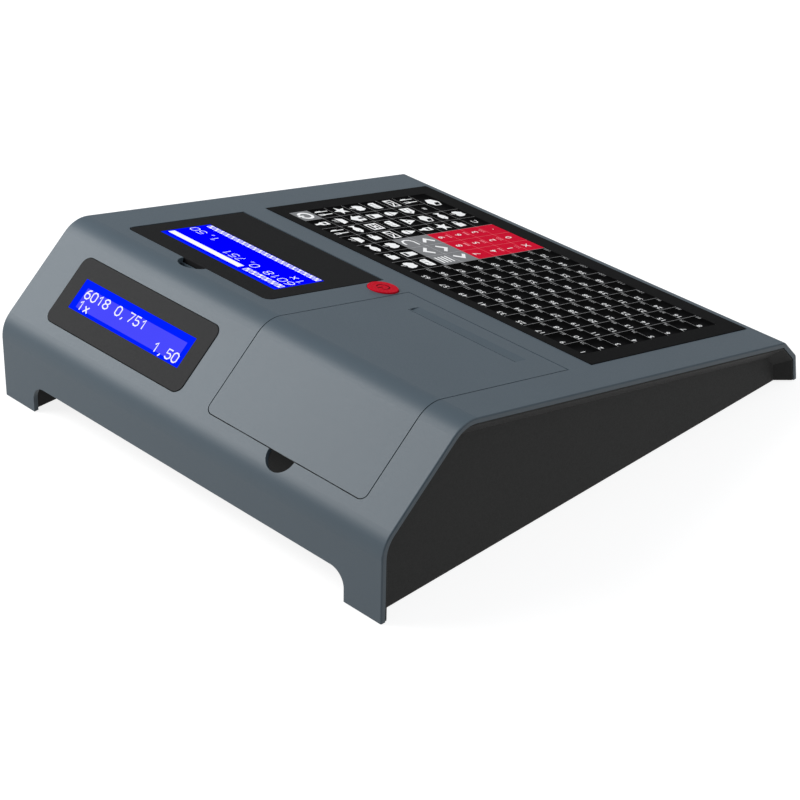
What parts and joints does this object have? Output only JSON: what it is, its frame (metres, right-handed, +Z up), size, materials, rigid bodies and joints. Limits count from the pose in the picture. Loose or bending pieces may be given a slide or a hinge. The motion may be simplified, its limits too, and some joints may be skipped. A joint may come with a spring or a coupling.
{
  "type": "ticket register",
  "caption": "Counter-top ticket register with a flat keyboard, tilting operator display, customer display on the rear slope and a receipt printer under a lid.",
  "frame": {"origin": "middle of the footprint, on the table", "axes": "+Z up, the operator stands at -Y and the customer at +Y, +X to the operator's right"},
  "size_m": [0.325, 0.3509, 0.0962],
  "materials": {
    "cover_grey": "painted cool grey, satin with a faint metallic sheen",
    "base_black": "moulded black, fine matt texture",
    "panel_black": "moulded black, fine matt texture",
    "bezel_grey": "moulded dark grey, satin",
    "pad_rubber": "matt black",
    "screw_steel": "zinc plated",
    "display_glass": "clear acrylic",
    "display_blue": "backlit blue display",
    "board_green": "solder mask green",
    "button_red": "moulded red",
    "switch_black": "moulded black",
    "key_film": "printed film over raised fields",
    "well_grey": "moulded grey",
    "zinc_plate": "zinc-plated sheet",
    "platen_rubber": "ground black rubber",
    "turned_steel": "turned bright",
    "gear_white": "natural acetal",
    "head_alloy": "anodised",
    "spring_steel": "bright spring steel",
    "motor_case": "plated motor case",
    "socket_black": "moulded black",
    "cable_white": "white flat cable"
  },
  "bodies": {
    "housing": {"backup_battery": "spring_steel", "base_tub": "base_black", "board_screws": "screw_steel", "capacitors": "head_alloy", "circuit_chips": "switch_black", "cover_screws": "screw_steel", "customer_bezel": "bezel_grey", "customer_board": "board_green", "customer_lcd": "display_blue", "customer_lens": "display_glass", "customer_ribbon": "cable_white", "drawer_socket": "socket_black", "head_rod": "turned_steel", "head_springs": "spring_steel", "idler_post": "turned_steel", "key_sheet": "key_film", "keyboard_board": "board_green", "keyboard_frame": "panel_black", "keyboard_ribbon": "cable_white", "keyboard_screws": "screw_steel", "keyboard_tray": "panel_black", "lid_hinge_pins": "turned_steel", "main_board": "board_green", "network_socket": "socket_black", "operator_hinge_pins": "turned_steel", "paper_well": "well_grey", "platen_bushes": "gear_white", "power_inlet": "socket_black", "power_switch": "switch_black", "print_head": "head_alloy", "printer_frame": "zinc_plate", "printer_screws": "screw_steel", "ribbon_sockets": "switch_black", "rubber_feet": "pad_rubber", "serial_sockets": "socket_black", "stepper_motor": "motor_case", "switch_board": "board_green", "tear_bar": "spring_steel", "top_cover": "cover_grey"},
    "display_flap": {"operator_panel": "panel_black", "operator_lens": "display_glass", "operator_lcd": "display_blue", "operator_board": "board_green", "operator_back": "panel_black"},
    "lid": {"printer_lid": "cover_grey"},
    "button": {"power_button": "button_red", "switch_plunger": "switch_black"},
    "platen": {"platen_roller": "platen_rubber", "platen_shaft": "turned_steel", "platen_gear": "gear_white"},
    "idler": {"idler_gear": "gear_white"},
    "rotor": {"motor_shaft": "turned_steel", "motor_pinion": "gear_white"}
  },
  "joints": [
    {"name": "display_tilt", "type": "hinge", "parent": "housing", "child": "display_flap", "pos_m": [0, 0.01858, 0.06811], "axis": [1, 0, 0], "range_deg": [0, 50]},
    {"name": "lid_swing", "type": "hinge", "parent": "housing", "child": "lid", "pos_m": [0, 0.01858, 0.06811], "axis": [1, 0, 0], "range_deg": [0, 80]},
    {"name": "button_press", "type": "slide", "parent": "housing", "child": "button", "axis": [0, 0.2355, -0.9719], "range_m": [0, 0.0012], "stiffness_N_per_m": 400},
    {"name": "platen_spin", "type": "hinge", "parent": "housing", "child": "platen", "pos_m": [-0.07335, 0.03006, 0.05994], "axis": [1, 0, 0], "continuous": true},
    {"name": "idler_spin", "type": "hinge", "parent": "housing", "child": "idler", "pos_m": [-0.07335, 0.04418, 0.04054], "axis": [1, 0, 0], "continuous": true},
    {"name": "motor_spin", "type": "hinge", "parent": "housing", "child": "rotor", "pos_m": [-0.07335, 0.04, 0.022], "axis": [1, 0, 0], "continuous": true}
  ],
  "couplings": [
    {"joint": "idler_spin", "follows": "platen_spin", "ratio": -0.84615},
    {"joint": "motor_spin", "follows": "platen_spin", "ratio": 1.8333}
  ]
}
